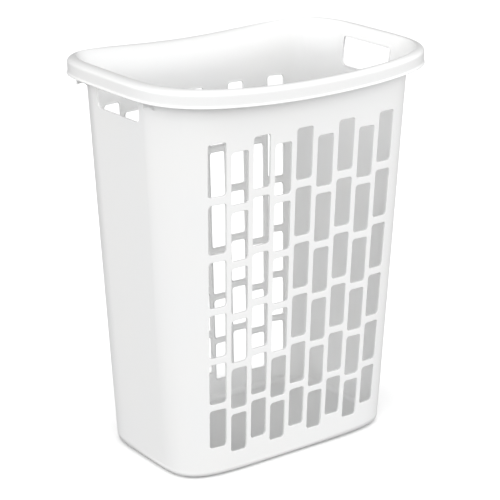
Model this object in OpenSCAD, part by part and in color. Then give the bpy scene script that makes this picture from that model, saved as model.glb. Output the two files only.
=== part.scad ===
// Open rectangular laundry hamper: one thin-walled moulding, drawn as its named regions.
// The origin is the centre of the underside, +Z is up, +X runs along the length and
// -Y is the vented front.

/* [Body] */
// Length of the body at the floor
base_len = 410; // [340:5:460]
// Depth of the body at the floor
base_dep = 250; // [200:5:280]
// Wall thickness
wall_t = 2.4; // [2:0.2:4]
// Outward lean of the corners along the length, in degrees
end_draft = 1.74; // [1:0.02:2.2]
// Outward lean of the middle of the end walls, in degrees
panel_draft = 3.22; // [2.4:0.02:3.4]
// Outward lean of the front and back walls, in degrees
side_draft = 2.4; // [1:0.1:3]
// Squareness of the plan at the floor
plan_power_low = 5.3; // [4:0.1:8]
// Squareness of the plan under the rim
plan_power_high = 7.4; // [5:0.1:9]

/* [Base] */
// Thickness of the floor panel
floor_t = 3; // [2:0.5:5]
// Height of the base panel's upturned edge
base_h = 14; // [13:1:20]
// Radius of the bottom edge
bottom_r = 11; // [6:1:12]

/* [Rim] */
// Height of the rim's crest at the middle of the long sides
crest_h = 625; // [560:5:680]
// How much higher the crest is at the two ends
end_rise = 13.5; // [0:0.5:25]
// Height over which the wall flares out to the crest
flare_h = 55; // [40:1:70]
// How far the crest stands out from the end walls
end_crest_out = 24.5; // [15:0.5:30]
// How far the crest stands out from the front and back walls
side_crest_out = 22.5; // [15:0.5:30]
// Width from the crest to the skirt at the ends
end_skirt_out = 15; // [8:0.5:20]
// Width from the crest to the skirt along the long sides
side_skirt_out = 8.5; // [6:0.5:15]
// Roll-over radius between crest and skirt
shoulder_r = 9; // [5:0.5:12]
// Depth of the skirt's lower edge below the crest
skirt_h = 27; // [20:1:34]
// Squareness of the rim's plan
rim_power = 4.3; // [4:0.1:7]

/* [Vents] */
// Columns of slots in each long wall
vent_cols = 9; // [5:2:9]
// Rows of slots in each long wall
vent_rows = 6; // [3:1:6]
// Spacing of the columns, at fan_z
col_pitch = 37.8; // [34:0.1:39]
// Width of a slot, at fan_z
slot_w = 29.1; // [20:0.1:31]
// Growth of the column spacing with height, per metre
fan = 0.18; // [0:0.01:0.2]
// Top of the highest slots
vent_top = 546; // [500:1:550]
// Spacing of the first two rows
row_pitch = 94.5; // [86:0.5:96]
// Height of the first row's slots
slot_h = 82; // [60:0.5:82]
// Drop of every second column
stagger = 17.9; // [0:0.1:20]
// Size of each row relative to the row above it
row_ratio = 0.953; // [0.94:0.001:0.96]
// Corner radius of a slot
slot_r = 5; // [3:0.5:8]

/* [Hand holes] */
// Width of each hand hole
grip_w = 115; // [90:1:124]
// Height of each hand hole's lower edge
grip_z = 570; // [562:1:580]
// Height of each hand hole's upper edge
grip_top = 617; // [612:1:621]
// Radius of a hand hole's lower corners
grip_r = 10; // [5:1:15]
// Radius of a hand hole's upper corners
grip_top_r = 3; // [1:0.5:8]

/* [Gussets] */
// Distance of each gusset from the hamper's middle plane
gusset_y = 91; // [72:1:94]
// Thickness of a gusset
gusset_t = 3; // [2:0.5:4]
// Gap between a gusset's outer end and the skirt
gusset_gap = 5; // [2:0.5:8]
// Drop of a gusset below the skirt where it meets the wall
gusset_drop_in = 16; // [12:1:20]
// Drop of a gusset below the skirt at its outer end
gusset_drop_out = 10.5; // [6:0.5:12]
// Depth of the hollow in a gusset's lower edge
gusset_hollow = 4; // [0:0.5:6]

/* [Hidden] */

PLASTIC = [0.95, 0.95, 0.94];
END_ANGLE = 36;        // half the plan angle of an end wall
CORNER_ANGLE = 12;     // plan angle of a corner
LONG_ANGLE = 90 - END_ANGLE - CORNER_ANGLE;
PANEL_FROM = 24;       // plan angles between which
PANEL_TO = 42;         // an end wall's extra lean dies away
PANEL_STEPS = 6;       // facets across the flat of an end wall
EDGE_STEPS = 4;        // facets between that flat and the corner
CORNER_STEPS = 12;     // facets round a corner
BEND_STEPS = 4;        // facets between a long wall's last bar and the corner
WAVE = 120;            // the stretch of cosine that the crest follows, in degrees
POWER_TOP_Z = 588;     // height at which the plan reaches plan_power_high
FAN_Z = 210;           // height at which the column spacing is col_pitch
LIP_ANGLE = 50;        // place on the flare where wall ends and rim begins
CHORDS = 4;            // chords in a rounded corner

// ---------- plan and section ----------

// Radius of a unit superellipse of power p in direction a
function unit_r(a, p) = pow(pow(abs(cos(a)), p) + pow(abs(sin(a)), p), -1 / p);

// Height of the crest in plan direction a: low at the long sides, high at the ends
function crest_z(a) =
    crest_h + end_rise * (1 - cos(WAVE * min(1, unit_r(a, rim_power) * abs(cos(a)))))
    / (1 - cos(WAVE));

// Power of the body's plan at height z, eased to the rim's plan by blend
function plan_power(z, blend) =
    (1 - blend) * (plan_power_low + (plan_power_high - plan_power_low) * z / POWER_TOP_Z)
    + blend * rim_power;

// How far the middle of an end wall stands out beyond the line of its corners
function panel_out(a, z) =
    let (share = (asin(abs(sin(a))) - PANEL_FROM) / (PANEL_TO - PANEL_FROM))
    (tan(panel_draft) - tan(end_draft)) * z * (1 + cos(180 * max(0, min(1, share)))) / 2;

// A point of the moulding: plan direction a, offsets from the end and long walls, height
function place(a, end_out, side_out, z, blend) =
    let (
        r = unit_r(a, plan_power(z, blend)),
        out = end_out + (1 - blend) * panel_out(a, z)
    )
    [
        (base_len / 2 + tan(end_draft) * z + out) * r * cos(a),
        (base_dep / 2 + tan(side_draft) * z + side_out) * r * sin(a),
        z
    ];

// Stations of the section. skin 0 is the outside and underside, skin 1 the inside and top.
function wall_low(a, z, skin) = place(a, -skin * wall_t, -skin * wall_t, z, 0);

function flare(a, turn, skin) =
    place(
        a,
        end_crest_out - (end_crest_out + skin * wall_t) * cos(turn),
        side_crest_out - (side_crest_out + skin * wall_t) * cos(turn),
        crest_z(a) - flare_h + (flare_h - (1 - skin) * wall_t) * sin(turn),
        1 - cos(turn)
    );

function shoulder(a, turn, skin) =
    let (t = (1 - skin) * wall_t)
    place(
        a,
        end_crest_out + (end_skirt_out - t) * sin(turn),
        side_crest_out + (side_skirt_out - t) * sin(turn),
        crest_z(a) - shoulder_r + (shoulder_r - t) * cos(turn),
        1
    );

function skirt_edge(a, skin) =
    let (t = (1 - skin) * wall_t)
    place(
        a,
        end_crest_out + end_skirt_out - t,
        side_crest_out + side_skirt_out - t,
        crest_z(a) - skirt_h,
        1
    );

function wall_section(a, skin) = concat(
    [wall_low(a, base_h, skin)],
    [for (turn = [0:LIP_ANGLE / 4:LIP_ANGLE]) flare(a, turn, skin)]
);

function rim_section(a, skin) = concat(
    [for (turn = [LIP_ANGLE:(90 - LIP_ANGLE) / 4:90]) flare(a, turn, skin)],
    [for (turn = [22.5:22.5:90]) shoulder(a, turn, skin)],
    [skirt_edge(a, skin)]
);

// ---------- plan directions of the facets' edges ----------

function turns(from, to, steps) = [for (i = [0:steps]) from + (to - from) * i / steps];

function all_but_last(list) = [for (i = [0:len(list) - 2]) list[i]];

function row_top(row) = vent_top - row_pitch * (1 - pow(row_ratio, row)) / (1 - row_ratio);
function spread(z) = 1 + fan * (z - FAN_Z) / 1000;

// Angle off a long wall's middle of the bar that is k column spacings from it
function bar_turn(k) =
    let (
        z = vent_top / 2,
        u = k * col_pitch * spread(z) / (base_len / 2 + tan(end_draft) * z),
        power = plan_power(z, 0)
    )
    atan2(u, pow(1 - pow(abs(u), power), 1 / power));

function end_turns(middle) = concat(
    all_but_last(turns(middle - END_ANGLE, middle - PANEL_FROM, EDGE_STEPS)),
    all_but_last(turns(middle - PANEL_FROM, middle + PANEL_FROM, PANEL_STEPS)),
    turns(middle + PANEL_FROM, middle + END_ANGLE, EDGE_STEPS)
);

// A long wall's edges run up the bars between its columns of slots
function long_turns(middle) =
    let (last_bar = bar_turn(vent_cols / 2 - 1))
    concat(
        all_but_last(turns(middle - LONG_ANGLE, middle - last_bar, BEND_STEPS)),
        [for (k = [1 - vent_cols / 2:vent_cols / 2 - 2]) middle + bar_turn(k)],
        turns(middle + last_bar, middle + LONG_ANGLE, BEND_STEPS)
    );

// Corner 0 is at the back right, and the others follow anticlockwise
function corner_turns(corner) =
    let (from = corner * 90 + (corner % 2 == 0 ? END_ANGLE : LONG_ANGLE))
    turns(from, from + CORNER_ANGLE, CORNER_STEPS);

function whole_turn() = [
    for (part = [
        end_turns(0), corner_turns(0), long_turns(90), corner_turns(1),
        end_turns(180), corner_turns(2), long_turns(270), corner_turns(3)
    ]) each all_but_last(part)
];

// ---------- solids from sections ----------

// Triangles of a quad a-b-c-d
function quad(a, b, c, d) = [[a, b, c], [a, c, d]];

// A sheet between two grids of points with the same rows and columns
module sheet(outer, inner) {
    rows = len(outer);
    cols = len(outer[0]);
    function at(skin, i, j) = (skin * rows + i) * cols + j;
    points = [for (skin = [outer, inner]) for (row = skin) for (p = row) p];
    skins = [
        for (i = [0:rows - 2]) for (j = [0:cols - 2])
            each concat(
                quad(at(0, i, j), at(0, i, j + 1), at(0, i + 1, j + 1), at(0, i + 1, j)),
                quad(at(1, i, j), at(1, i + 1, j), at(1, i + 1, j + 1), at(1, i, j + 1))
            )
    ];
    edges = [
        for (i = [0:rows - 2])
            each concat(
                quad(at(0, i, 0), at(0, i + 1, 0), at(1, i + 1, 0), at(1, i, 0)),
                quad(at(0, i + 1, cols - 1), at(0, i, cols - 1),
                     at(1, i, cols - 1), at(1, i + 1, cols - 1))
            )
    ];
    ends = [
        for (j = [0:cols - 2])
            each concat(
                quad(at(0, 0, j + 1), at(0, 0, j), at(1, 0, j), at(1, 0, j + 1)),
                quad(at(0, rows - 1, j), at(0, rows - 1, j + 1),
                     at(1, rows - 1, j + 1), at(1, rows - 1, j))
            )
    ];
    polyhedron(points, concat(skins, edges, ends));
}

module wall_sheet(angles) {
    sheet([for (a = angles) wall_section(a, 0)], [for (a = angles) wall_section(a, 1)]);
}

module rim_sheet(angles) {
    sheet([for (a = angles) rim_section(a, 0)], [for (a = angles) rim_section(a, 1)]);
}

// ---------- vents and hand holes ----------

// A rectangle whose corners are drawn as short chords of an arc
module rounded_rect(w, h, low_r, top_r) {
    polygon([
        for (corner = [0:3]) for (k = [0:CHORDS])
            let (
                a = 90 * corner + 90 * k / CHORDS,
                x = (corner == 0 || corner == 3) ? 1 : -1,
                y = corner < 2 ? 1 : -1,
                r = corner < 2 ? top_r : low_r
            )
            [x * (w / 2 - r) + r * cos(a), y * (h / 2 - r) + r * sin(a)]
    ]);
}

// One slot, cut straight through a long wall; side is -1 at the front and 1 at the back
module vent(col, row, side) {
    scale_row = pow(row_ratio, row);
    from_middle = col - (vent_cols - 1) / 2;
    low = (col % 2) * stagger * scale_row;
    z = row_top(row) - low - slot_h * scale_row / 2;
    lean = atan(from_middle * col_pitch * fan / 1000);
    translate([from_middle * col_pitch * spread(z), side * base_dep / 2, z])
        rotate([90, lean, 0])
            linear_extrude(base_dep / 2, center = true)
                rounded_rect(slot_w * spread(z), slot_h * scale_row, slot_r, slot_r);
}

module vents(side) {
    for (col = [0:vent_cols - 1]) for (row = [0:vent_rows - 1]) vent(col, row, side);
}

// The hand hole, cut straight through an end wall
module hand_hole(side) {
    translate([side * base_len / 2, 0, (grip_z + grip_top) / 2])
        rotate([90, 0, 90])
            linear_extrude(base_len / 2, center = true)
                rounded_rect(grip_w, grip_top - grip_z, grip_r, grip_top_r);
}

// ---------- regions of the moulding ----------

module base_panel() {
    angles = whole_turn();
    steps = len(angles);
    rise = bottom_r - floor_t;
    function ring(inset, z) = [for (a = angles) place(a, -inset, -inset, z, 0)];
    rings = concat(
        [for (turn = [0:15:90]) ring(bottom_r * (1 - sin(turn)), bottom_r * (1 - cos(turn)))],
        [
            ring(0, base_h),
            ring(wall_t, base_h),
            ring(wall_t, bottom_r),
            ring(wall_t + rise * 0.3, floor_t + rise * 0.3),
            ring(wall_t + rise, floor_t)
        ]
    );
    last = len(rings) - 1;
    function at(k, i) = k * steps + i % steps;
    under_middle = (last + 1) * steps;
    floor_middle = under_middle + 1;
    bands = [
        for (k = [0:last - 1]) for (i = [0:steps - 1])
            each quad(at(k, i), at(k + 1, i), at(k + 1, i + 1), at(k, i + 1))
    ];
    underside = [for (i = [0:steps - 1]) [at(0, i), at(0, i + 1), under_middle]];
    floor_face = [for (i = [0:steps - 1]) [at(last, i + 1), at(last, i), floor_middle]];
    points = concat([for (ring = rings) each ring], [[0, 0, 0], [0, 0, floor_t]]);
    color(PLASTIC) polyhedron(points, concat(bands, underside, floor_face));
}

module long_wall(side) {
    color(PLASTIC) difference() {
        wall_sheet(long_turns(side * 90));
        vents(side);
    }
}

module end_wall(side) {
    color(PLASTIC) difference() {
        wall_sheet(end_turns(side > 0 ? 0 : 180));
        hand_hole(side);
    }
}

module corner_wall(corner) {
    color(PLASTIC) wall_sheet(corner_turns(corner));
}

module long_rim(side) {
    color(PLASTIC) rim_sheet(long_turns(side * 90));
}

module handle_rim(side) {
    color(PLASTIC) rim_sheet(end_turns(side > 0 ? 0 : 180));
}

module corner_rim(corner) {
    color(PLASTIC) rim_sheet(corner_turns(corner));
}

// Plan direction in which the moulding lies gusset_y from the middle plane
function gusset_turn(side_out, z, blend) =
    let (
        v = gusset_y / (base_dep / 2 + tan(side_draft) * z + side_out),
        power = plan_power(z, blend)
    )
    atan2(v, pow(1 - pow(v, power), 1 / power));

// A rib in the hollow of the rim, between the end wall and the skirt
module gusset(x_side, y_side) {
    crest_turn = gusset_turn(side_crest_out, crest_h + end_rise, 1);
    crest = crest_z(crest_turn);
    skirt_z = crest - skirt_h;
    wall_z = skirt_z - gusset_drop_in;
    wall_turn = asin((wall_z - crest + flare_h) / (flare_h - wall_t));
    end_turn = asin(1 - gusset_gap / (end_skirt_out - wall_t));
    // The underside of the rim, along the gusset's plane
    under = concat(
        [
            for (turn = turns(wall_turn, 90, 8))
                let (
                    z = crest - flare_h + (flare_h - wall_t) * sin(turn),
                    out = side_crest_out * (1 - cos(turn))
                )
                flare(gusset_turn(out, z, 1 - cos(turn)), turn, 0)
        ],
        [for (k = [1:3]) shoulder(crest_turn, end_turn * k / 3, 0)]
    );
    tip = [under[len(under) - 1][0], skirt_z - gusset_drop_out];
    heel = [under[0][0], wall_z];
    // The lower edge is hollowed between its two ends
    hollow = [
        for (f = [0.25, 0.5, 0.75])
            tip + f * (heel - tip) + [0, gusset_hollow * sin(180 * f)]
    ];
    outline = concat([for (p = under) [p[0], p[2]]], [tip], hollow);
    color(PLASTIC)
        mirror([x_side < 0 ? 1 : 0, 0, 0])
            translate([0, y_side * gusset_y + gusset_t / 2, 0])
                rotate([90, 0, 0])
                    linear_extrude(gusset_t) polygon(outline);
}

base_panel();
long_wall(-1);  // front_wall
long_wall(1);  // back_wall
end_wall(-1);  // left_end_wall
end_wall(1);  // right_end_wall
corner_wall(0);  // back_right_corner
corner_wall(1);  // back_left_corner
corner_wall(2);  // front_left_corner
corner_wall(3);  // front_right_corner
long_rim(-1);  // front_rim
long_rim(1);  // back_rim
handle_rim(-1);  // left_handle_rim
handle_rim(1);  // right_handle_rim
corner_rim(0);  // back_right_rim_corner
corner_rim(1);  // back_left_rim_corner
corner_rim(2);  // front_left_rim_corner
corner_rim(3);  // front_right_rim_corner
gusset(-1, -1);  // front_left_gusset
gusset(1, -1);  // front_right_gusset
gusset(-1, 1);  // back_left_gusset
gusset(1, 1);  // back_right_gusset
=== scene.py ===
"""Looks of an open-topped white laundry hamper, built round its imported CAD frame.

Each CAD node is one region of a single plastic moulding. Each is replaced by a finer closed
mesh of the same region: filleted slots with inward lips, a beaded rim, rounded edges.
Sizes are in millimetres up to build(), which makes the meshes in metres.
"""

import math

import bmesh
import bpy
import numpy as np
from mathutils import Matrix, Vector
from mathutils.geometry import delaunay_2d_cdt


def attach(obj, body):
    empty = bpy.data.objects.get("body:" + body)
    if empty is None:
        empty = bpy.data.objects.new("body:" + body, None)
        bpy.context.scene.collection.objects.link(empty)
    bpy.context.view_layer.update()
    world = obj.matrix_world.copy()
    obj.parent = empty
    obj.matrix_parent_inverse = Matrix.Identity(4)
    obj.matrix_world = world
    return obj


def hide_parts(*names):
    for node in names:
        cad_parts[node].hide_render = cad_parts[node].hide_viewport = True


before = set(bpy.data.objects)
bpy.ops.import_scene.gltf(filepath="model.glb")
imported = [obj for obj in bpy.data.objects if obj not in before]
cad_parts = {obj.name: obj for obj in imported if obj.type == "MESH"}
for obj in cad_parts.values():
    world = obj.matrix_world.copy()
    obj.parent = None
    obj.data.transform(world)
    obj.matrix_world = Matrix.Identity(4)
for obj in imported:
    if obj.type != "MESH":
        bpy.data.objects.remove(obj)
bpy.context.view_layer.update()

# ---------- sizes, as in the CAD source, in millimetres and degrees ----------

BASE_LEN, BASE_DEP = 410.0, 250.0
WALL_T = 2.4
END_DRAFT, PANEL_DRAFT, SIDE_DRAFT = 1.74, 3.22, 2.4
PANEL_FROM, PANEL_TO = 24.0, 42.0
POWER_LOW, POWER_HIGH, POWER_TOP_Z = 5.3, 7.4, 588.0
FLOOR_T, BASE_H, BOTTOM_R = 3.0, 14.0, 11.0
CREST_H, END_RISE, WAVE = 625.0, 13.5, 120.0
FLARE_H = 55.0
END_CREST, SIDE_CREST = 24.5, 22.5
END_SKIRT, SIDE_SKIRT = 15.0, 8.5
SHOULDER_R, SKIRT_H, RIM_POWER = 9.0, 27.0, 4.3
VENT_COLS, VENT_ROWS = 9, 6
COL_PITCH, SLOT_W, FAN, FAN_Z = 37.8, 29.1, 0.18, 210.0
VENT_TOP, ROW_PITCH, SLOT_H = 546.0, 94.5, 82.0
STAGGER, ROW_RATIO, SLOT_R = 17.9, 0.953, 5.0
GRIP_W, GRIP_Z, GRIP_TOP, GRIP_R, GRIP_TOP_R = 115.0, 570.0, 617.0, 10.0, 3.0
GUSSET_Y, GUSSET_T, GUSSET_GAP = 91.0, 3.0, 5.0
GUSSET_IN, GUSSET_OUT, GUSSET_HOLLOW = 16.0, 10.5, 4.0
END_ANGLE, CORNER_ANGLE = 36.0, 12.0

# What the looks add, all inside the CAD box
LIP_TURN = 66.0        # place on the flare where the wall pieces end and the rim pieces begin
SLOT_LIP = 4.2         # depth of a slot, through the wall and its inward lip
GRIP_LIP = 4.0         # depth of a hand hole, through the wall and its inward lip
LIP_T = 1.6            # thickness of a slot's lip
EDGE_R = 0.9           # rounding of the slots' and hand holes' edges
FOOT_R = 1.1           # fillet where a lip meets the wall
BEAD = 1.6             # how far the bead stands out from the skirt
BEAD_H = 5.0           # height of the bead
HEM = 1.2              # height of the rounding under the skirt's lower edge
RIB_EDGE_R = 0.6       # rounding of a gusset's edges
RIB_SINK = 0.3         # how far a gusset runs into the rim above it
BEND = (END_ANGLE, END_ANGLE + CORNER_ANGLE)

# How finely and how closely the meshes are made
MM = 0.001
TURN_STEP, RISE_STEP = 1e-4, 0.02       # radians and millimetres, for directions along the skin
LONG_SEARCH, END_SEARCH = (135.0, 45.0), (-48.0, 48.0)    # plan angles that hold the holes
HALVINGS = 40                           # of the search for a plan angle
HOLE_GAP = 1.2                          # least gap between a hole's edge and the wall's points
FLAT_SHARES = (0.12, 0.4, 0.7, 0.93)    # rings of the flat floor, as shares of its outline
GRAZING = 0.05                          # below this, a face and a vertex normal don't agree
WALL_TURN, CORNER_TURN = 1.5, 1.0       # degrees between the points of a wall and a corner


def rad(degrees):
    return np.radians(degrees)


# ---------- plan and section ----------

def unit_r(a, p):
    return (np.abs(np.cos(a)) ** p + np.abs(np.sin(a)) ** p) ** (-1 / p)


def crest_z(a):
    along = np.minimum(1, unit_r(a, RIM_POWER) * np.abs(np.cos(a)))
    return CREST_H + END_RISE * (1 - np.cos(rad(WAVE) * along)) / (1 - math.cos(rad(WAVE)))


def plan_power(z, blend):
    wall_power = POWER_LOW + (POWER_HIGH - POWER_LOW) * z / POWER_TOP_Z
    return (1 - blend) * wall_power + blend * RIM_POWER


def panel_out(a, z):
    """How far the middle of an end wall stands out beyond the line of its corners."""
    turn = np.degrees(np.arcsin(np.abs(np.sin(a))))
    share = np.clip((turn - PANEL_FROM) / (PANEL_TO - PANEL_FROM), 0, 1)
    lean = math.tan(rad(PANEL_DRAFT)) - math.tan(rad(END_DRAFT))
    return lean * z * (1 + np.cos(math.pi * share)) / 2


def place(a, end_out, side_out, z, blend):
    """Points at plan angle a, offsets from the end and long walls, and height z."""
    r = unit_r(a, plan_power(z, blend))
    out = end_out + (1 - blend) * panel_out(a, z)
    x = (BASE_LEN / 2 + math.tan(rad(END_DRAFT)) * z + out) * r * np.cos(a)
    y = (BASE_DEP / 2 + math.tan(rad(SIDE_DRAFT)) * z + side_out) * r * np.sin(a)
    return np.stack(np.broadcast_arrays(x, y, z), axis=-1)


def wall(a, z, skin):
    """The wall and its flare at height z. skin 0 is outside, and 1 is inside."""
    rise = z - crest_z(a) + FLARE_H
    turn = np.arcsin(np.clip(rise / (FLARE_H - (1 - skin) * WALL_T), 0, 1))
    end = END_CREST - (END_CREST + skin * WALL_T) * np.cos(turn)
    side = SIDE_CREST - (SIDE_CREST + skin * WALL_T) * np.cos(turn)
    return place(a, end, side, z, 1 - np.cos(turn))


def flare_height(a, turn, skin):
    return crest_z(a) - FLARE_H + (FLARE_H - (1 - skin) * WALL_T) * math.sin(rad(turn))


def wall_normal(a, z, skin):
    """Unit normals of the wall, pointing out of the plastic."""
    across = wall(a + TURN_STEP, z, skin) - wall(a - TURN_STEP, z, skin)
    up = wall(a, z + RISE_STEP, skin) - wall(a, z - RISE_STEP, skin)
    n = np.cross(across, up)
    n /= np.linalg.norm(n, axis=-1, keepdims=True)
    return n if skin == 0 else -n


def angle_at(axis, value, z, skin):
    """Plan angle at which the wall's x (axis 0) or y (axis 1) takes a value at height z."""
    low, high = (np.full(len(value), rad(end)) for end in (LONG_SEARCH, END_SEARCH)[axis])
    for _ in range(HALVINGS):
        middle = (low + high) / 2
        under = wall(middle, z, skin)[:, axis] < value
        low, high = np.where(under, middle, low), np.where(under, high, middle)
    return (low + high) / 2


# ---------- meshes ----------

class Shell:
    """Vertices, their normals, and faces of one closed piece. A sharp face keeps its own normal."""

    def __init__(self):
        self.points, self.normals, self.faces, self.sharp = [], [], [], []

    def add(self, points, normals):
        """Adds points of any grid shape, and returns their numbers in that shape."""
        first = len(self.points)
        self.points.extend(points.reshape(-1, 3))
        self.normals.extend(np.broadcast_to(normals, points.shape).reshape(-1, 3))
        return np.arange(first, len(self.points)).reshape(points.shape[:-1])

    def strip(self, one, two, closed=False, sharp=False):
        """Quads between two equal rows of vertex numbers."""
        for i in range(len(one) if closed else len(one) - 1):
            j = (i + 1) % len(one)
            self.faces.append((one[i], one[j], two[j], two[i]))
            self.sharp.append(sharp)

    def grid(self, ids, closed=False, sharp=False):
        for one, two in zip(ids[:-1], ids[1:]):
            self.strip(one, two, closed, sharp)


def build(name, node, material, shell, mirror=(1, 1, 1)):
    """Makes the piece in metres, mirrored where asked, with its own normals."""
    flip = np.array(mirror, float)
    points = np.array(shell.points) * flip * MM
    normals = np.array(shell.normals) * flip
    bm = bmesh.new()
    verts = [bm.verts.new(p) for p in points]
    for face, sharp in zip(shell.faces, shell.sharp):
        made = bm.faces.new([verts[i] for i in face])
        made.smooth = not sharp
    bmesh.ops.recalc_face_normals(bm, faces=bm.faces)
    mesh = bpy.data.meshes.new(name)
    bm.to_mesh(mesh)
    bm.free()
    corners = []
    for polygon in mesh.polygons:
        own = np.array(polygon.normal)
        for v in polygon.vertices:
            n = normals[v]
            if not polygon.use_smooth or abs(n @ own) < GRAZING:
                corners.append(tuple(own))
            else:
                corners.append(tuple(n if n @ own > 0 else -n))
    mesh.normals_split_custom_set(corners)
    mesh.materials.append(material)
    piece = bpy.data.objects.new(name, mesh)
    bpy.context.scene.collection.objects.link(piece)
    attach(piece, "root")
    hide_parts(node)
    return piece


# ---------- slots and hand holes ----------

def outline(w, h, low_r, top_r, grow, per_corner=6, across=4, up=7):
    """A rounded rectangle grown by an offset, and its outward directions. The points of two
    outlines with different growth correspond."""
    points, outs = [], []

    def corner_point(corner, out):
        r = top_r if corner < 2 else low_r
        sx, sy = (1, -1, -1, 1)[corner], (1, 1, -1, -1)[corner]
        return np.array([sx * (w / 2 - r), sy * (h / 2 - r)]) + (r + grow) * out

    for corner in range(4):
        turns = rad(90.0 * corner + np.linspace(0, 90, per_corner + 1))
        out = np.stack([np.cos(turns), np.sin(turns)], axis=1)
        arc = corner_point(corner, out)
        points.append(arc)
        outs.append(out)
        ahead = rad(90.0 * (corner + 1))
        out = np.array([math.cos(ahead), math.sin(ahead)])
        following = corner_point((corner + 1) % 4, out)
        steps = up if corner % 2 else across
        share = (np.arange(1, steps) / steps)[:, None]
        points.append(arc[-1] + share * (following - arc[-1]))
        outs.append(np.broadcast_to(out, (steps - 1, 2)))
    return np.concatenate(points), np.concatenate(outs)


def row_top(row):
    return VENT_TOP - ROW_PITCH * (1 - ROW_RATIO ** row) / (1 - ROW_RATIO)


def spread(z):
    return 1 + FAN * (z - FAN_Z) / 1000


def vents():
    """The slots of a long wall as (centre x, centre z, lean, width, height, lower and upper
    corner radius)."""
    for col in range(VENT_COLS):
        for row in range(VENT_ROWS):
            size = ROW_RATIO ** row
            off = col - (VENT_COLS - 1) / 2
            z = row_top(row) - (col % 2) * STAGGER * size - SLOT_H * size / 2
            yield off * COL_PITCH * spread(z), z, math.atan(off * COL_PITCH * FAN / 1000), \
                SLOT_W * spread(z), SLOT_H * size, SLOT_R, SLOT_R


def grips():
    """The hand hole of an end wall, in the same form."""
    yield 0.0, (GRIP_Z + GRIP_TOP) / 2, 0.0, GRIP_W, GRIP_TOP - GRIP_Z, GRIP_R, GRIP_TOP_R


def hole_rings(axis, hole, lip):
    """Rings through one hole, from the outer skin to the inner skin, as (points, normals).
    The hole is cut along y where axis is 0, and along x where axis is 1."""
    across, z0, lean, w, h, low_r, top_r = hole
    turn = np.array([[math.cos(lean), -math.sin(lean)], [math.sin(lean), math.cos(lean)]])
    deep = np.array([0.0, -1, 0]) if axis == 0 else np.array([-1.0, 0, 0])

    def ring(grow, depth, skin, on_skin, inward):
        """on_skin and inward weigh the skin's normal and the way to the hole's middle."""
        flat, out = outline(w, h, low_r, top_r, grow)
        flat, out = flat @ turn, out @ turn
        u, z = across + flat[:, 0], z0 + flat[:, 1]
        a = angle_at(axis, u, z, skin)
        points = wall(a, z, skin) + deep * depth
        out3 = np.zeros((len(u), 3))
        out3[:, axis], out3[:, 2] = out[:, 0], out[:, 1]
        n = on_skin * wall_normal(a, z, skin) - inward * out3
        return points, n / np.linalg.norm(n, axis=1, keepdims=True)

    rings = []
    for t in rad(np.array([0.0, 30, 60, 90])):
        c, s = math.cos(t), math.sin(t)
        rings.append(ring(EDGE_R * (1 - s), EDGE_R * (1 - c), 0, c, s))
    end_r = LIP_T / 2
    for t in rad(np.array([90.0, 60, 30, 0, -30, -60, -90])):
        c, s = math.cos(t), math.sin(t)
        rings.append(ring(end_r * (1 - s), lip - end_r * (1 - c), 0, -c, s))
    for t in rad(np.array([90.0, 60, 30, 0])):
        c, s = math.cos(t), math.sin(t)
        rings.append(ring(LIP_T + FOOT_R * (1 - s), FOOT_R * (1 - c), 1, c, -s))
    return rings


# ---------- pieces of the walls ----------

def angles(low, high, step):
    return rad(np.linspace(low, high, round((high - low) / step) + 1))


LONG_TURNS = angles(BEND[1], 180 - BEND[1], WALL_TURN)
END_TURNS = angles(-BEND[0], BEND[0], WALL_TURN)
CORNER_TURNS = angles(BEND[0], BEND[1], CORNER_TURN)
WALL_LEVELS = 40
FLARE_TURNS = np.linspace(0, LIP_TURN, 12)[1:]


def wall_grid(turns, skin):
    """Heights of a wall piece's grid, one row per plan angle."""
    start = crest_z(turns) - FLARE_H
    share = np.linspace(0, 1, WALL_LEVELS)
    straight = BASE_H + share * (start[:, None] - BASE_H)
    flared = np.stack([flare_height(turns, t, skin) for t in FLARE_TURNS], axis=1)
    return np.concatenate([straight, flared], axis=1)


def border(ids):
    """The vertex numbers round a grid, in order."""
    return np.concatenate([ids[:, 0], ids[-1, 1:], ids[-2::-1, -1], ids[0, -2:0:-1]])


def wall_piece(turns, axis=None, holes=(), lip=0.0):
    """A closed wall piece. With holes, each skin is triangulated round them in the plane that
    they are cut in."""
    shell = Shell()
    rims = []
    rings = [hole_rings(axis, hole, lip) for hole in holes]
    ring_ids = [[shell.add(p, n) for p, n in hole] for hole in rings]
    for ids in ring_ids:
        shell.grid(ids, closed=True)
    for skin in (0, 1):
        z = wall_grid(turns, skin)
        a = np.broadcast_to(turns[:, None], z.shape)
        points, normals = wall(a, z, skin), wall_normal(a, z, skin)
        if not rings:
            ids = shell.add(points, normals)
            shell.grid(ids)
            rims.append(border(ids))
            continue
        loops = [ids[-skin] for ids in ring_ids]
        keep = np.ones(z.shape, bool)
        for hole in holes:
            keep[1:-1, 1:-1] &= clear_of(points[1:-1, 1:-1], axis, hole, skin)
        ids = np.full(z.shape, -1)
        ids[keep] = shell.add(points[keep], normals[keep])
        edge = border(ids)
        rims.append(edge)
        triangulate(shell, axis, ids[keep], edge, loops)
    shell.strip(rims[0], rims[1], closed=True, sharp=True)
    return shell


def clear_of(points, axis, hole, skin):
    """Whether points lie clear of a hole, by enough for a well-shaped triangle between."""
    across, z0, lean, w, h = hole[:5]
    u, z = points[..., axis] - across, points[..., 2] - z0
    along = u * math.cos(lean) - z * math.sin(lean)
    up = u * math.sin(lean) + z * math.cos(lean)
    gap = (LIP_T + FOOT_R if skin else EDGE_R) + HOLE_GAP
    return (np.abs(along) > w / 2 + gap) | (np.abs(up) > h / 2 + gap)


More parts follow.
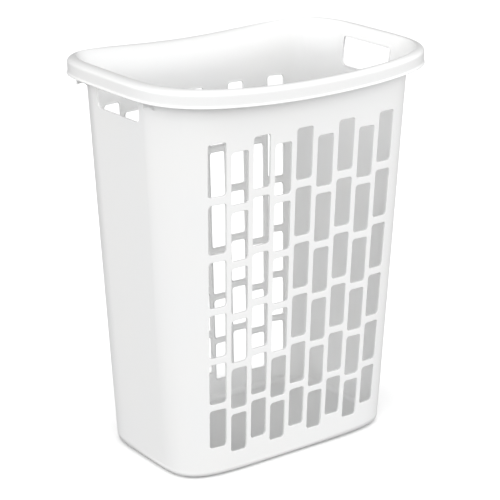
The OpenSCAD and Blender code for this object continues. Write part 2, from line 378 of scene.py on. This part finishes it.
def triangulate(shell, axis, inner, edge, loops):
    """Adds the triangles between a skin's outer edge and its holes."""
    numbers = np.unique(np.concatenate([inner.ravel(), edge] + list(loops)))
    local = {n: i for i, n in enumerate(numbers)}
    flat = [Vector((shell.points[n][axis], shell.points[n][2])) for n in numbers]
    lines, loop_of = [], {}
    for k, loop in enumerate([edge] + list(loops)):
        lines += [(local[i], local[j]) for i, j in zip(loop, np.roll(loop, -1))]
        if k:
            loop_of.update({n: k for n in loop})
    made = delaunay_2d_cdt(flat, lines, [], 1, 1e-7)
    source = [numbers[was[0]] for was in made[3]]
    for face in made[2]:
        corners = [source[i] for i in face]
        first = loop_of.get(corners[0])
        if first and all(loop_of.get(c) == first for c in corners):
            continue
        shell.faces.append(tuple(corners))
        shell.sharp.append(False)


# ---------- pieces of the rim ----------

def rim_section():
    """The rim's closed section, from the seam under the flare round the skirt and back over the
    crest, as (how far the crest offset counts, how far the skirt offset counts, inset in mm,
    height over the crest in mm, blend to the rim's plan)."""
    section = []
    for turn in np.linspace(LIP_TURN, 90, 6):
        t = rad(turn)
        section.append((1 - math.cos(t), 0, 0,
                        -FLARE_H + (FLARE_H - WALL_T) * math.sin(t), 1 - math.cos(t)))
    for turn in np.linspace(0, 90, 9)[1:]:
        t = rad(turn)
        section.append((1, math.sin(t), -(WALL_T + BEAD) * math.sin(t),
                        -SHOULDER_R + (SHOULDER_R - WALL_T) * math.cos(t), 1))
    edge_r = (WALL_T + BEAD) / 2
    for turn in np.concatenate([np.linspace(180, 270, 5), np.linspace(-60, 0, 3)]):
        t = rad(turn)
        section.append((1, 1, -edge_r + edge_r * math.cos(t),
                        -SKIRT_H + HEM + HEM * math.sin(t), 1))
    for share in np.linspace(0, 1, 7)[1:]:
        ease = (1 - math.cos(math.pi * share)) / 2
        section.append((1, 1, -BEAD * ease, -SKIRT_H + HEM + (BEAD_H - HEM) * share, 1))
    for drop in np.linspace(SKIRT_H - BEAD_H, SHOULDER_R, 4)[1:-1]:
        section.append((1, 1, -BEAD, -drop, 1))
    for turn in np.linspace(90, 0, 13):
        t = rad(turn)
        section.append((1, math.sin(t), -BEAD * math.sin(t),
                        -SHOULDER_R + SHOULDER_R * math.cos(t), 1))
    for turn in np.linspace(90, LIP_TURN, 7)[1:]:
        t = rad(turn)
        section.append((1 - math.cos(t), 0, -WALL_T * math.cos(t),
                        -FLARE_H + FLARE_H * math.sin(t), 1 - math.cos(t)))
    return np.array(section)


SECTION = rim_section()


def rim_points(turns):
    crest, skirt, inset, height, blend = (SECTION[:, k] for k in range(5))
    a = turns[:, None]
    end = END_CREST * crest + END_SKIRT * skirt + inset
    side = SIDE_CREST * crest + SIDE_SKIRT * skirt + inset
    return place(a, end[None], side[None], crest_z(a) + height[None], blend[None])


def rim_piece(turns):
    shell = Shell()
    points = rim_points(turns)
    across = rim_points(turns + TURN_STEP) - rim_points(turns - TURN_STEP)
    along = np.empty_like(points)
    along[:, 1:-1] = points[:, 2:] - points[:, :-2]
    along[:, 0] = points[:, 1] - points[:, 0]
    along[:, -1] = points[:, -1] - points[:, -2]
    normals = np.cross(across, along)
    normals /= np.linalg.norm(normals, axis=-1, keepdims=True)
    normals[:, 0] = wall_normal(turns, points[:, 0, 2], 0)
    normals[:, -1] = wall_normal(turns, points[:, -1, 2], 1)
    ids = shell.add(points, normals)
    shell.grid(ids)
    shell.strip(ids[:, 0], ids[:, -1], sharp=True)
    for end in (ids[0], ids[-1]):
        cap = rim_cap(end, shell)
        shell.faces.extend(cap)
        shell.sharp.extend([True] * len(cap))
    return shell


def rim_cap(row, shell):
    """Triangles across the rim's open section, between its under side and its top side."""
    faces, i, j = [], 0, len(row) - 1
    while j - i > 2:
        step_i = np.linalg.norm(shell.points[row[i + 1]] - shell.points[row[j]])
        step_j = np.linalg.norm(shell.points[row[j - 1]] - shell.points[row[i]])
        if step_i < step_j:
            faces.append((row[i], row[i + 1], row[j]))
            i += 1
        else:
            faces.append((row[i], row[j - 1], row[j]))
            j -= 1
    faces.append((row[i], row[i + 1], row[j]))
    return faces


# ---------- base and gussets ----------

def base_piece():
    shell = Shell()
    turns = np.concatenate([
        END_TURNS[:-1], CORNER_TURNS[:-1], LONG_TURNS[:-1], math.pi - CORNER_TURNS[:0:-1],
        math.pi + END_TURNS[:-1], math.pi + CORNER_TURNS[:-1], math.pi + LONG_TURNS[:-1],
        2 * math.pi - CORNER_TURNS[:0:-1],
    ])
    # Which way is out, from the outline to one drawn much wider
    wider, middle_z = 100.0, 5.0
    out = place(turns, wider, wider, middle_z, 0.0) * np.array([1, 1, 0])
    out -= place(turns, 0.0, 0.0, middle_z, 0.0) * np.array([1, 1, 0])
    out /= np.linalg.norm(out, axis=1, keepdims=True)
    up = np.array([0.0, 0, 1])

    def ring(inset, z, o, u):
        n = o * out + u * up
        n /= np.linalg.norm(n, axis=1, keepdims=True)
        return shell.add(place(turns, -inset, -inset, z, 0.0), n)

    rings = []
    for share in FLAT_SHARES:
        rings.append(shell.add(place(turns, -BOTTOM_R, -BOTTOM_R, 0.0, 0.0) * share, -up))
    for t in rad(np.linspace(0, 90, 10)):
        c, s = math.cos(t), math.sin(t)
        rings.append(ring(BOTTOM_R * (1 - s), BOTTOM_R * (1 - c), s, -c))
    rings.append(shell.add(place(turns, 0.0, 0.0, BASE_H, 0.0), wall_normal(turns, BASE_H, 0)))
    shell.grid(rings, closed=True)
    seam = shell.add(place(turns, -WALL_T, -WALL_T, BASE_H, 0.0), wall_normal(turns, BASE_H, 1))
    shell.strip(rings[-1], seam, closed=True, sharp=True)
    rise = BOTTOM_R - FLOOR_T
    inner = [seam]
    for t in rad(np.linspace(0, 90, 9)):
        c, s = math.cos(t), math.sin(t)
        inner.append(ring(WALL_T + rise * (1 - c), BOTTOM_R - rise * s, -c, s))
    for share in reversed(FLAT_SHARES):
        flat = place(turns, -WALL_T - rise, -WALL_T - rise, FLOOR_T, 0.0)
        inner.append(shell.add(flat * np.array([share, share, 1]), up))
    shell.grid(inner, closed=True)
    for row, height, n in ((rings[0], 0.0, -up), (inner[-1], FLOOR_T, up)):
        centre = shell.add(np.array([[0.0, 0, height]]), n)[0]
        for i, j in zip(row, np.roll(row, -1)):
            shell.faces.append((i, j, centre))
            shell.sharp.append(False)
    return shell


def gusset_turn(side_out, z, blend):
    """Plan angle at which the moulding lies GUSSET_Y from the middle plane."""
    v = GUSSET_Y / (BASE_DEP / 2 + math.tan(rad(SIDE_DRAFT)) * z + side_out)
    power = plan_power(z, blend)
    return math.atan2(v, (1 - v ** power) ** (1 / power))


def gusset_piece():
    """A rib in the hollow of the rim, with a rounded lower edge."""
    at_crest = gusset_turn(SIDE_CREST, CREST_H + END_RISE, 1)
    crest = float(crest_z(at_crest))
    skirt_z = crest - SKIRT_H
    wall_z = skirt_z - GUSSET_IN
    first = math.degrees(math.asin((wall_z - crest + FLARE_H) / (FLARE_H - WALL_T)))
    top = []
    for turn in np.linspace(first, 90, 14):
        t = rad(turn)
        z = crest - FLARE_H + (FLARE_H - WALL_T) * math.sin(t)
        a = gusset_turn(SIDE_CREST * (1 - math.cos(t)), z, 1 - math.cos(t))
        p = place(a, END_CREST * (1 - math.cos(t)), SIDE_CREST * (1 - math.cos(t)), z,
                  1 - math.cos(t))
        top.append((p[0] - RIB_SINK, p[2] + RIB_SINK))
    last = math.asin(1 - GUSSET_GAP / (END_SKIRT - WALL_T))
    for t in np.linspace(0, last, 5)[1:]:
        p = place(at_crest, END_CREST + (END_SKIRT - WALL_T) * math.sin(t),
                  SIDE_CREST + (SIDE_SKIRT - WALL_T) * math.sin(t),
                  crest - SHOULDER_R + (SHOULDER_R - WALL_T) * math.cos(t), 1)
        top.append((p[0], p[2] + RIB_SINK))
    tip = np.array([top[-1][0], skirt_z - GUSSET_OUT])
    heel = np.array([top[0][0], wall_z])
    low = [tip + f * (heel - tip) + np.array([0, GUSSET_HOLLOW * math.sin(math.pi * f)])
           for f in np.linspace(0, 1, 13)]
    shell = Shell()
    contour = np.array(top[1:] + [tuple(p) for p in low])
    turned = np.roll(contour, -1, axis=0) - np.roll(contour, 1, axis=0)
    out = np.stack([turned[:, 1], -turned[:, 0]], axis=1)
    out /= np.linalg.norm(out, axis=1, keepdims=True)
    middle = contour.mean(axis=0)
    if ((contour - middle) * out).sum() < 0:
        out = -out
    rows = []
    # Each row is a side, how far it is drawn in and how far it is sunk, as shares of the
    # rounding, and how much its normal points along y
    for side, drawn, sunk, across in ((-1, 1.0, 0.0, -1.0), (-1, 0.3, 0.3, -0.7),
                                      (-1, 0.0, 1.0, 0.0), (1, 0.0, 1.0, 0.0),
                                      (1, 0.3, 0.3, 0.7), (1, 1.0, 0.0, 1.0)):
        flat = contour - out * drawn * RIB_EDGE_R
        y = GUSSET_Y + side * (GUSSET_T / 2 - sunk * RIB_EDGE_R)
        points = np.stack([flat[:, 0], np.full(len(flat), y), flat[:, 1]], axis=1)
        weight = math.sqrt(1 - across * across)
        normal = np.stack([out[:, 0] * weight, np.full(len(flat), across),
                           out[:, 1] * weight], axis=1)
        rows.append(shell.add(points, normal))
    shell.grid(rows, closed=True)
    for row in (rows[0], rows[-1]):
        shell.faces.append(tuple(row))
        shell.sharp.append(True)
    return shell


# ---------- materials ----------

WHITE_WARM = (0.82, 0.82, 0.815)
WHITE_COOL = (0.815, 0.818, 0.818)
PLASTIC_IOR = 1.49
GLOSS_DRIFT = 0.02                        # how far the roughness strays either way
GRAIN_SCALE, GRAIN_DEPTH = 900, 0.0002    # the tooled grain, metres deep
RIPPLE, RIPPLE_DEPTH = 0.08, 0.0006       # strength and depth in metres of the slow ripples


def plastic(name, roughness, grain):
    """White moulded polypropylene: a fine tooled grain, slow ripples from the mould and slight
    changes of tint and gloss."""
    material = bpy.data.materials.new(name)
    material.use_nodes = True
    nodes, links = material.node_tree.nodes, material.node_tree.links
    shader = nodes["Principled BSDF"]
    shader.inputs["IOR"].default_value = PLASTIC_IOR
    where = nodes.new("ShaderNodeTexCoord").outputs["Object"]

    def noise(scale, detail):
        made = nodes.new("ShaderNodeTexNoise")
        made.inputs["Scale"].default_value = scale
        made.inputs["Detail"].default_value = detail
        links.new(where, made.inputs["Vector"])
        return made.outputs["Fac"]

    def ramp(source, low, high, a, b):
        made = nodes.new("ShaderNodeMapRange")
        made.inputs["From Min"].default_value, made.inputs["From Max"].default_value = low, high
        made.inputs["To Min"].default_value, made.inputs["To Max"].default_value = a, b
        links.new(source, made.inputs["Value"])
        return made.outputs["Result"]

    tint = nodes.new("ShaderNodeMix")
    tint.data_type = "RGBA"
    tint.inputs[6].default_value = (*WHITE_WARM, 1)
    tint.inputs[7].default_value = (*WHITE_COOL, 1)
    links.new(ramp(noise(scale=9, detail=2), 0.35, 0.65, 0, 1), tint.inputs[0])
    links.new(tint.outputs[2], shader.inputs["Base Color"])
    sheen = ramp(noise(scale=26, detail=3), 0.3, 0.7, roughness - GLOSS_DRIFT,
                 roughness + GLOSS_DRIFT)
    links.new(sheen, shader.inputs["Roughness"])
    fine = nodes.new("ShaderNodeBump")
    fine.inputs["Strength"].default_value = grain
    fine.inputs["Distance"].default_value = GRAIN_DEPTH
    links.new(noise(GRAIN_SCALE, detail=2), fine.inputs["Height"])
    slow = nodes.new("ShaderNodeBump")
    slow.inputs["Strength"].default_value = RIPPLE
    slow.inputs["Distance"].default_value = RIPPLE_DEPTH
    links.new(noise(scale=14, detail=1), slow.inputs["Height"])
    links.new(fine.outputs["Normal"], slow.inputs["Normal"])
    links.new(slow.outputs["Normal"], shader.inputs["Normal"])
    return material


matte = plastic("white_pp_satin", roughness=0.46, grain=0.35)
gloss = plastic("white_pp_smooth", roughness=0.3, grain=0.1)

# ---------- the hamper ----------

long_wall = wall_piece(LONG_TURNS, 0, list(vents()), SLOT_LIP)
end_wall = wall_piece(END_TURNS, 1, list(grips()), GRIP_LIP)
corner = wall_piece(CORNER_TURNS)
long_rim, end_rim, corner_rim = (rim_piece(t) for t in (LONG_TURNS, END_TURNS, CORNER_TURNS))
gusset = gusset_piece()

build("base_panel_shell", "base_panel", matte, base_piece())
for side, y in (("front", -1), ("back", 1)):
    build(f"{side}_wall_shell", f"{side}_wall", matte, long_wall, (1, y, 1))
    build(f"{side}_rim_shell", f"{side}_rim", gloss, long_rim, (1, y, 1))
for side, x in (("left", -1), ("right", 1)):
    build(f"{side}_end_wall_shell", f"{side}_end_wall", matte, end_wall, (x, 1, 1))
    build(f"{side}_handle_rim_shell", f"{side}_handle_rim", gloss, end_rim, (x, 1, 1))
for depth, y in (("front", -1), ("back", 1)):
    for side, x in (("left", -1), ("right", 1)):
        at = f"{depth}_{side}"
        build(f"{at}_corner_shell", f"{at}_corner", matte, corner, (x, y, 1))
        build(f"{at}_rim_corner_shell", f"{at}_rim_corner", gloss, corner_rim, (x, y, 1))
        build(f"{at}_gusset_rib", f"{at}_gusset", matte, gusset, (x, y, 1))

# ---------- floor, light and camera ----------

# Strengths of the sky's fill and band, and what is left of each where it fades
FILL, FILL_BELOW, FILL_BEHIND = 0.52, 0.1, 0.5
BAND, BAND_ABOVE = 2.6, 0.08
# Where each fades: heights on a unit sphere, and how far a direction faces the key side
FILL_RISES = (-0.7, -0.1)
BAND_RISES, BAND_FALLS = (-0.15, 0.12), (0.25, 0.65)
FRONT_FROM = (-0.75, 0.05)
KEY_WAY = Vector((-0.53, -0.85, 0.0))
FLOOR_SIZE, FLOOR_WHITE = 30, (0.93, 0.93, 0.93, 1)
WASH_SIZE, WASH_POWER, WASH_PLACE = 6.0, 150, (0.0, 0.3, 4.0)
EYE = Vector((-1.59992, -2.20499, 1.25341))
LENS, SENSOR = 129.73, 36.0

# The floor lights nothing, so that the hamper's undersides stay dark
bpy.ops.mesh.primitive_grid_add(x_subdivisions=4, y_subdivisions=4, size=FLOOR_SIZE,
                                location=(0, 0, 0))
floor = bpy.context.object
floor.name = "studio_floor"
floor.visible_diffuse = floor.visible_glossy = False
pale = bpy.data.materials.new("pale_floor")
pale.use_nodes = True
pale_shader = pale.node_tree.nodes["Principled BSDF"]
pale_shader.inputs["Base Color"].default_value = FLOOR_WHITE
pale_shader.inputs["Roughness"].default_value = 0.9
pale_shader.inputs["Specular IOR Level"].default_value = 0.1
floor.data.materials.append(pale)
floor_only = bpy.data.collections.new("floor_only")
floor_only.objects.link(floor)

# Soft light from a band round the front and sides, and little from behind, above and below
world = bpy.data.worlds.new("studio")
bpy.context.scene.world = world
world.use_nodes = True
sky_nodes, sky_links = world.node_tree.nodes, world.node_tree.links
sky_way = sky_nodes.new("ShaderNodeTexCoord").outputs["Generated"]


def sky_step(source, over, start, end):
    """Smooth step of a source from start to end, over a range of the source's values."""
    made = sky_nodes.new("ShaderNodeMapRange")
    made.interpolation_type = "SMOOTHSTEP"
    made.inputs["From Min"].default_value, made.inputs["From Max"].default_value = over
    made.inputs["To Min"].default_value, made.inputs["To Max"].default_value = start, end
    sky_links.new(source, made.inputs["Value"])
    return made.outputs["Result"]


def sky_maths(operation, one, two):
    """A maths node between two values, each a socket or a plain number."""
    made = sky_nodes.new("ShaderNodeMath")
    made.operation = operation
    for socket, value in zip(made.inputs, (one, two)):
        if isinstance(value, float):
            socket.default_value = value
        else:
            sky_links.new(value, socket)
    return made.outputs["Value"]


facing = sky_nodes.new("ShaderNodeVectorMath")
facing.operation = "DOT_PRODUCT"
facing.inputs[1].default_value = KEY_WAY
sky_links.new(sky_way, facing.inputs[0])
front = facing.outputs["Value"]
parts = sky_nodes.new("ShaderNodeSeparateXYZ")
sky_links.new(sky_way, parts.inputs[0])
height = parts.outputs["Z"]
band = sky_maths("MULTIPLY", sky_step(front, FRONT_FROM, 0, 1), sky_step(height, BAND_RISES, 0, 1))
band = sky_maths("MULTIPLY", band, sky_step(height, BAND_FALLS, 1, BAND_ABOVE))
fill = sky_maths("MULTIPLY", sky_step(height, FILL_RISES, FILL_BELOW * FILL, FILL),
                 sky_step(front, FRONT_FROM, FILL_BEHIND, 1))
glow = sky_maths("ADD", sky_maths("MULTIPLY", band, BAND), fill)
sky_links.new(glow, sky_nodes["Background"].inputs["Strength"])
sky_nodes["Background"].inputs["Color"].default_value = (1, 1, 1, 1)


# A wash on the floor alone keeps it as pale as the background
wash = bpy.data.lights.new("floor_wash", "AREA")
wash.shape = "RECTANGLE"
wash.size = wash.size_y = WASH_SIZE
wash.energy = WASH_POWER
lamp = bpy.data.objects.new("floor_wash", wash)
lamp.location = WASH_PLACE
bpy.context.scene.collection.objects.link(lamp)
lamp.light_linking.receiver_collection = floor_only

camera = bpy.data.objects.new("camera", bpy.data.cameras.new("camera"))
camera.data.lens, camera.data.sensor_width = LENS, SENSOR
azimuth, elevation, roll = math.radians(36.0255), math.radians(19.0945), math.radians(-0.1322)
forward = Vector((math.sin(azimuth) * math.cos(elevation), math.cos(azimuth) * math.cos(elevation),
                  -math.sin(elevation)))
right = forward.cross(Vector((0, 0, 1))).normalized()
over = right.cross(forward)
level = Matrix((right, over, -forward)).transposed()
camera.matrix_world = Matrix.Translation(EYE) @ level.to_4x4() @ Matrix.Rotation(roll, 4, "Z")
camera.data.clip_start, camera.data.clip_end = 0.1, 100
bpy.context.scene.collection.objects.link(camera)
bpy.context.scene.camera = camera
bpy.context.scene.view_settings.view_transform = "Standard"
